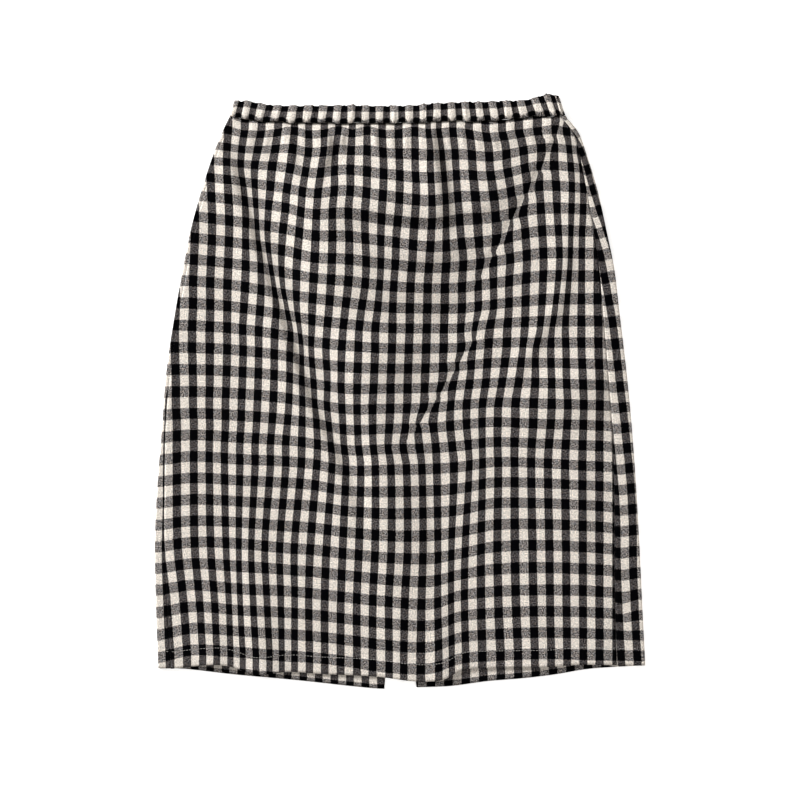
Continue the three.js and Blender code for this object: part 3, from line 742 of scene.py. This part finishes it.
def gingham():
    """Plain weave of dark and pale yarns in stripes both ways, the warp lying over the weft."""
    n = Nodes("gingham")
    fabric = n.tree.nodes.new("ShaderNodeUVMap")
    fabric.uv_map = "fabric"
    across, down = n.add("ShaderNodeSeparateXYZ", Vector=fabric.outputs[0]).outputs[:2]
    waver = n.math("SUBTRACT", n.noise(fabric.outputs[0], EDGE_WAVER_SCALE), 0.5)
    shift = n.math("MULTIPLY", waver, EDGE_WAVER)

    def stripe(place):
        """1 in a dark stripe, 0 in a pale one, with a soft edge of about one yarn."""
        wave = n.math("COSINE", n.math("MULTIPLY", place, 2 * math.pi))
        edge = n.clamped(n.math("MULTIPLY", wave, EDGE_SHARPNESS), -1.0, 1.0)
        return n.math("MULTIPLY_ADD", edge, 0.5, 0.5)

    def crossings(threads):
        """A wave that changes sign from each thread to the next."""
        return n.math("SINE", n.math("MULTIPLY", threads, math.pi))

    def streak(x, y):
        return n.noise(n.point(x, y), STREAK_SCALE, STREAK_DETAIL)

    dark_warp = stripe(n.math("ADD", across, shift))
    dark_weft = stripe(n.math("ADD", down, shift))
    warp_place = n.math("MULTIPLY", across, THREADS_PER_CHECK_WIDTH)
    weft_place = n.math("MULTIPLY", down, THREADS_PER_CHECK_HEIGHT)
    over = n.math("MULTIPLY", crossings(warp_place), crossings(weft_place))
    warp_on_top = n.clamped(n.math("MULTIPLY_ADD", over, WARP_SHARPNESS, WARP_BIAS), 0.0, 1.0)
    warp_streak = streak(warp_place, n.math("MULTIPLY", weft_place, STREAK_LENGTH_SHARE))
    weft_streak = streak(n.math("MULTIPLY", warp_place, STREAK_LENGTH_SHARE), weft_place)

    both_pale = n.math("MULTIPLY", n.math("SUBTRACT", 1.0, dark_warp), n.math("SUBTRACT", 1.0, dark_weft))
    warp_color = n.mix(dark_warp, n.mix(both_pale, MIXED_WARP, PALE_YARN), DARK_YARN)
    weft_color = n.mix(dark_weft, n.mix(both_pale, MIXED_WEFT, PALE_YARN), DARK_YARN)
    color = n.mix(warp_on_top, weft_color, warp_color)
    streaks = n.math("ADD", warp_streak, weft_streak)
    color = n.shaded(color, n.math("MULTIPLY_ADD", streaks, STREAK_GAIN, STREAK_LEAST))

    threads = n.point(warp_place, weft_place)
    fleck = n.math("SUBTRACT", n.noise(threads, FLECK_SCALE), 0.5)
    gain = n.math("MULTIPLY_ADD", both_pale, PALE_FLECK_GAIN - FLECK_GAIN, FLECK_GAIN)
    color = n.shaded(color, n.math("MAXIMUM", n.math("MULTIPLY_ADD", fleck, gain, 1.0), FLECK_LEAST))
    tint = n.mix(n.noise(threads, TINT_SCALE, 1.0), BLUISH_TINT, REDDISH_TINT)
    share = n.math("MULTIPLY_ADD", both_pale, PALE_TINT_SHARE - TINT_SHARE, TINT_SHARE)
    color = n.mix(share, color, n.mix(1.0, color, tint, "MULTIPLY"))

    slub = n.math("MULTIPLY_ADD", warp_streak, SLUB_HEIGHT, n.math("MULTIPLY", weft_streak, SLUB_HEIGHT))
    height = n.math("MULTIPLY_ADD", n.math("ABSOLUTE", over), CROSSING_HEIGHT, slub)
    bump = n.add("ShaderNodeBump", Height=height, Strength=0.35, Distance=0.0004)
    n.put(n.shader.inputs["Base Color"], color)
    n.put(n.shader.inputs["Normal"], bump.outputs[0])
    n.shader.inputs["Roughness"].default_value = 0.92
    n.shader.inputs["Specular IOR Level"].default_value = 0.02
    n.shader.inputs["Sheen Weight"].default_value = 0.01
    n.shader.inputs["Sheen Roughness"].default_value = 0.5
    return n.material


def thread():
    """Twisted ecru sewing thread."""
    n = Nodes("thread")
    place = n.tree.nodes.new("ShaderNodeTexCoord").outputs["Object"]
    twist = n.add("ShaderNodeTexWave", Vector=place, Scale=900.0, Distortion=1.0)
    bump = n.add("ShaderNodeBump", Height=twist.outputs["Fac"], Strength=0.4, Distance=0.0001)
    n.put(n.shader.inputs["Base Color"], n.mix(n.noise(place, 300.0), THREAD_SHADE, THREAD_LIGHT))
    n.put(n.shader.inputs["Normal"], bump.outputs[0])
    n.shader.inputs["Roughness"].default_value = 0.7
    return n.material


cloth_material = gingham()
thread_material = thread()

# ---------------------------------------------------------------- the front


def front_points(down, across):
    """Middle points of the front panel at fractions of its length and width, and its column numbers."""
    def place(y):
        left = side["left_seam"](y) + SEAM_GAP / 2
        right = side["right_seam"](y) - SEAM_GAP / 2
        return lerp(left, right, across)

    top_x = place(waist_y(place(top_level["y"])))
    y = lerp(seam_y(top_x) - SEAM_GAP / 2, front_hem_y(place(hem_level["y"])), down)
    x = place(y)
    column = column_at(x, y)
    return np.stack([x, y, front_height(x, y, column)], axis=-1), column


def front_panel():
    gathered = np.linspace(0, GATHERED_SHARE, FRONT_GATHERED_POINTS + 1)[:-1]
    rows = np.concatenate([gathered, np.linspace(GATHERED_SHARE, 1, FRONT_DOWN_POINTS)])
    down, across = np.meshgrid(rows, np.linspace(0, 1, FRONT_ACROSS_POINTS), indexing="ij")
    points, column = front_points(down, across)
    fabric = np.stack([column, row_at(points[..., 0], points[..., 1])], axis=-1)
    piece = cloth_shell("front_panel_cloth", points, CLOTH, fabric)
    dress(piece, "front_panel", cloth_material)
    return piece


# ---------------------------------------------------------------- the back


def back_points(outward, edge_column, seam_column, slit_hem):
    """Middle points of half of the back, and the x of its fold and of its seam at each row of points.

    They run flat from the middle to the fold, round the fold, and over the front to the side seam.
    """
    down = np.linspace(0, 1, BACK_DOWN_POINTS)

    def place(across):
        top_x = lerp(0, top_level[seam_column], across)
        hem_x = lerp(slit_hem, hem_level[edge_column], across)
        return lerp(back_waist_y(top_x) - SEAM_GAP / 2, back_hem_y(hem_x), down)

    y_side = place(1)
    loft = side["loft"](y_side)
    radius = (loft - REST_LAYER) / 2
    edge = side[edge_column](y_side)
    start = lerp(outward * SEAM_GAP / 2, slit_hem, slit_opening(y_side))
    turn = edge - outward * (radius + CLOTH / 2)
    end = side[seam_column](y_side) + outward * SEAM_GAP / 2
    columns = []
    for across in np.linspace(0, 1, BACK_REST_POINTS):
        x = lerp(start, turn, across)
        columns.append((x, place(across), np.full_like(x, REST_LAYER)))
    for angle in np.linspace(0, math.pi, BACK_FOLD_POINTS + 1)[1:]:
        x = turn + outward * radius * math.sin(angle)
        columns.append((x, y_side, REST_LAYER + radius * (1 - math.cos(angle))))
    for across in np.linspace(0, 1, BACK_STRIP_POINTS + 1)[1:]:
        columns.append((lerp(turn, end, across), y_side, loft))
    points = np.stack([np.stack(column, axis=-1) for column in columns], axis=1)
    return points, edge[:, None], end[:, None]


def strip_check(outward, x, y, inside, width):
    """The check's column and row numbers on the strip that lies on the front, inside its fold."""
    if outward < 0:
        pale = PALE_END - (left_strip_pale(y) - inside) / LEFT_STRIP_SPACING
        return lerp(pale, column_at(x, y), smoothstep(y, *LEFT_STRIP_LEVELS)), row_at(x, y)
    spacing = lerp(STRIP_SPACING, STRIP_TOP_SPACING, smoothstep(y, *STRIP_NARROWS))
    drop = strip_drop(y) * smoothstep(inside / width, *STRIP_DROP_SHARES)
    return (strip_column(y) - inside) / spacing, row_at(x, y + drop)


def back_panel(name, node, edge_column, seam_column, slit_hem):
    outward = int(math.copysign(1, slit_hem))
    points, edge, end = back_points(outward, edge_column, seam_column, slit_hem)
    x, y = points[..., 0], points[..., 1]
    first, spacing, above_hem = BACK_CHECK[outward]
    column = (outward * x - first) / spacing
    row = HEM_ROW + (back_hem_y(x) + above_hem - y) / BACK_ROW_SPACING
    row = lerp(row, row_at(x, y), smoothstep(np.abs(x / edge), NEAR_FOLD, 1))
    strip_columns, strip_rows = strip_check(outward, x, y, np.abs(edge) - np.abs(x), np.abs(edge - end))
    rolled = np.arange(points.shape[1]) >= BACK_REST_POINTS
    fabric = np.stack([np.where(rolled, strip_columns, column), np.where(rolled, strip_rows, row)], axis=-1)
    piece = cloth_shell(name, points, CLOTH, fabric)
    dress(piece, node, cloth_material)
    return piece


# ---------------------------------------------------------------- the waistband


def band_points(x, z, seam, height, column):
    """Points of the casing, and the column and row numbers of its check."""
    edge = EDGE_SCALLOP * (ripple(column) - 0.5) + EDGE_BUMP * puckers(column, 1)
    y = lerp(seam + SEAM_GAP / 2, band_top_y(x) + edge, height)
    row = band_row(height) - BAND_TUCK * ripple(column) * (1 - height) ** 3
    return np.stack([x, y, z], axis=-1), np.stack([column, row], axis=-1)


def band_front():
    rows, columns = BAND_FRONT_POINTS
    height, across = np.meshgrid(np.linspace(1, 0, rows), np.linspace(0, 1, columns), indexing="ij")
    inset = BAND_REACH + SEAM_GAP
    left = lerp(BAND_LEFT_SEAM, BAND_LEFT_TOP, height) + inset
    right = lerp(BAND_RIGHT_SEAM, BAND_RIGHT_TOP, height) - inset
    x = lerp(left, right, across)
    column = band_column(x, height)
    z = BAND_UPPER - BAND_DROP + band_profile(height)
    z += FRONT_RIPPLE * ripple(column) + BAND_PUCKER * puckers(column, height)
    points, fabric = band_points(x, z, seam_y(x), height, column)
    piece = cloth_shell("waistband_front_cloth", points, BAND_WALL, fabric)
    dress(piece, "waistband_front", cloth_material)
    return piece


def band_back():
    """The back of the casing, with the round folds at both ends that carry it up to the front."""
    rows, columns = BAND_BACK_POINTS
    height = np.linspace(1, 0, rows)[:, None]
    left = lerp(BAND_LEFT_SEAM, BAND_LEFT_TOP, height) + BAND_REACH
    right = lerp(BAND_RIGHT_SEAM, BAND_RIGHT_TOP, height) - BAND_REACH
    angle = np.linspace(0, math.pi, BAND_FOLD_POINTS)[None]
    turn_x = BAND_RADIUS * np.sin(angle)
    turn_z = np.repeat(BAND_REST + BAND_RADIUS * (1 - np.cos(angle)), rows, axis=0)
    rest_x = lerp(left, right, np.linspace(0, 1, columns)[None, 1:-1])
    rest_z = BAND_REST + BACK_RIPPLE * ripple(band_column(rest_x))
    x = np.concatenate([(left - turn_x)[:, ::-1], rest_x, right + turn_x], axis=1)
    z = np.concatenate([turn_z[:, ::-1], rest_z, turn_z], axis=1)
    height = np.repeat(height, x.shape[1], axis=1)
    points, fabric = band_points(x, z, back_waist_y(x), height, band_column(x))
    piece = cloth_shell("waistband_back_cloth", points, BAND_WALL, fabric)
    dress(piece, "waistband_back", cloth_material)
    return piece


# ---------------------------------------------------------------- the stitches

# One stitch from end to end: (place along it, share of the thread's radius, height of its middle).
STITCH_FORM = ((-0.5, 0.3, -0.3), (-0.36, 0.9, 0), (0, 1, 0.1), (0.36, 0.9, 0), (0.5, 0.3, -0.3))
STITCH_SIDES = 6


def sewn(name, lines):
    """Rows of machine stitches along lines of (x, y, z) points, in millimetres, as one piece.

    Each stitch is a short round thread that arches over the cloth and dips into it at both ends. Each line
    comes with the side of the cloth that it shows on: 1 above, -1 below.
    """
    form = np.array(STITCH_FORM)
    angle = np.arange(STITCH_SIDES) / STITCH_SIDES * 2 * math.pi
    rings = []
    for line, upward in lines:
        step = np.linalg.norm(np.diff(line, axis=0), axis=1)
        travel = np.concatenate([[0], np.cumsum(step)])
        middles = np.arange(STITCH_PITCH / 2, travel[-1], STITCH_PITCH)
        middles += rng.normal(0, STITCH_UNEVENNESS, len(middles))
        at = middles[:, None] + form[:, 0] * STITCH_LENGTH
        path = np.stack([np.interp(at, travel, line[:, i]) for i in range(3)], axis=-1)
        ahead = path[:, -1] - path[:, 0]
        ahead /= np.linalg.norm(ahead, axis=1, keepdims=True)
        up = np.array([0, 0, upward])
        beside = np.cross(up, ahead)
        path += up * form[:, 2, None]
        ring = beside[:, None] * np.cos(angle)[:, None] + up * np.sin(angle)[:, None]
        rings.append(path[:, :, None] + ring[:, None] * form[:, 1, None, None] * STITCH_RADIUS)
    points = np.concatenate(rings)
    number = np.arange(points[..., 0].size).reshape(points.shape[:3])
    ahead = np.roll(number, -1, axis=2)
    wall = np.stack([number[:, :-1], ahead[:, :-1], ahead[:, 1:], number[:, 1:]], axis=-1).reshape(-1, 4)
    ends = np.concatenate([number[:, 0, ::-1], number[:, -1]])
    mesh = bpy.data.meshes.new(name)
    mesh.from_pydata(points.reshape(-1, 3) * MM, [], wall.tolist() + ends.tolist())
    mesh.polygons.foreach_set("use_smooth", np.ones(len(mesh.polygons), bool))
    piece = placed(name, mesh)
    dress(piece, None, thread_material)
    return piece


def on_front(x, y):
    z = front_height(x, y, column_at(x, y)) + CLOTH / 2
    return np.stack([x, y, z], axis=-1), 1


def under_back(x, y):
    return np.stack([x, y, np.full_like(x, STITCH_LEVEL_UNDER)], axis=-1), -1


def on_strip(edge_column, seam_column):
    """The hem line across the strip, which stops short of the fold."""
    y = back_hem_y(hem_level[edge_column]) + HEM_DEPTH
    x = np.linspace(side[seam_column](y), side[edge_column](y), STRIP_LINE_POINTS)[1:-3]
    return np.stack([x, np.full_like(x, y), np.full_like(x, side["loft"](y) + CLOTH / 2)], axis=-1), 1


def stitches():
    """The hem of the front, and for each half of the back its hem below, its slit and its strip."""
    x = np.linspace(hem_level["left_seam"] + 1, hem_level["right_seam"] - 1, FRONT_LINE_POINTS)
    lines = [on_front(x, front_hem_y(x) + HEM_DEPTH)]
    for slit, seam, edge in ((SLIT_LEFT, "left_seam", "left_edge"), (SLIT_RIGHT, "right_seam", "right_edge")):
        outward = math.copysign(1, slit)
        x = np.linspace(slit + outward, hem_level[edge] - outward * 3, BACK_LINE_POINTS)
        lines.append(under_back(x, back_hem_y(x) + HEM_DEPTH))
        y = np.linspace(SLIT_TOP, back_hem_y(slit) + 1, SLIT_LINE_POINTS)
        lines.append(under_back(slit * slit_opening(y) + outward * SLIT_STITCH_INSET, y))
        lines.append(on_strip(edge, seam))
    return sewn("stitches", lines)


# ---------------------------------------------------------------- stage, in metres

FLOOR_SIZE = 8
FLOOR_LEVEL = -0.0002
SKY_COLOR = (1, 0.97, 0.93, 1)
SKY_STRENGTH = 0.38

# The key light shines low over the skirt from the upper left: its place, its size and its watts.
LIGHTS = {
    "key": ((-4.2, 2.9, 1.95), 1.5, 560),
    "fill": ((1.9, -1.4, 2.3), 1.6, 22),
}
CAMERA_HEIGHT = 2.4
CAMERA_Y = -0.0089
FRAME_WIDTH = 0.84


def lay_floor():
    bpy.ops.mesh.primitive_plane_add(size=FLOOR_SIZE, location=(0, 0, FLOOR_LEVEL))
    floor = bpy.context.object
    floor.name = "floor"
    n = Nodes("floor_paper")
    n.shader.inputs["Base Color"].default_value = (0.93, 0.925, 0.915, 1)
    n.shader.inputs["Roughness"].default_value = 0.9
    n.shader.inputs["Emission Color"].default_value = (1, 1, 1, 1)
    n.shader.inputs["Emission Strength"].default_value = 0.55
    floor.data.materials.append(n.material)


def light():
    world = bpy.data.worlds.new("studio")
    world.use_nodes = True
    sky = world.node_tree.nodes["Background"]
    sky.inputs["Color"].default_value = SKY_COLOR
    sky.inputs["Strength"].default_value = SKY_STRENGTH
    bpy.context.scene.world = world
    for name, (place, size, power) in LIGHTS.items():
        data = bpy.data.lights.new(name, "AREA")
        data.size = size
        data.energy = power
        lamp = bpy.data.objects.new(name, data)
        lamp.location = place
        aim = -np.array(place)
        flat = math.hypot(aim[0], aim[1])
        lamp.rotation_euler = (math.atan2(flat, -aim[2]), 0, math.atan2(-aim[0], aim[1]))
        bpy.context.collection.objects.link(lamp)


def camera():
    """A camera straight above, whose frame is as wide as the photo's."""
    data = bpy.data.cameras.new("camera")
    data.lens = data.sensor_width * CAMERA_HEIGHT / FRAME_WIDTH
    view = bpy.data.objects.new("camera", data)
    view.location = (0, CAMERA_Y, CAMERA_HEIGHT)
    bpy.context.collection.objects.link(view)
    bpy.context.scene.camera = view


lay_floor()
light()
camera()
front = front_panel()
back_left = back_panel("back_left_cloth", "back_left_panel", "left_edge", "left_seam", SLIT_LEFT)
back_right = back_panel("back_right_cloth", "back_right_panel", "right_edge", "right_seam", SLIT_RIGHT)
casing_front = band_front()
casing_back = band_back()
stitches()

bpy.context.scene.view_settings.view_transform = "Standard"
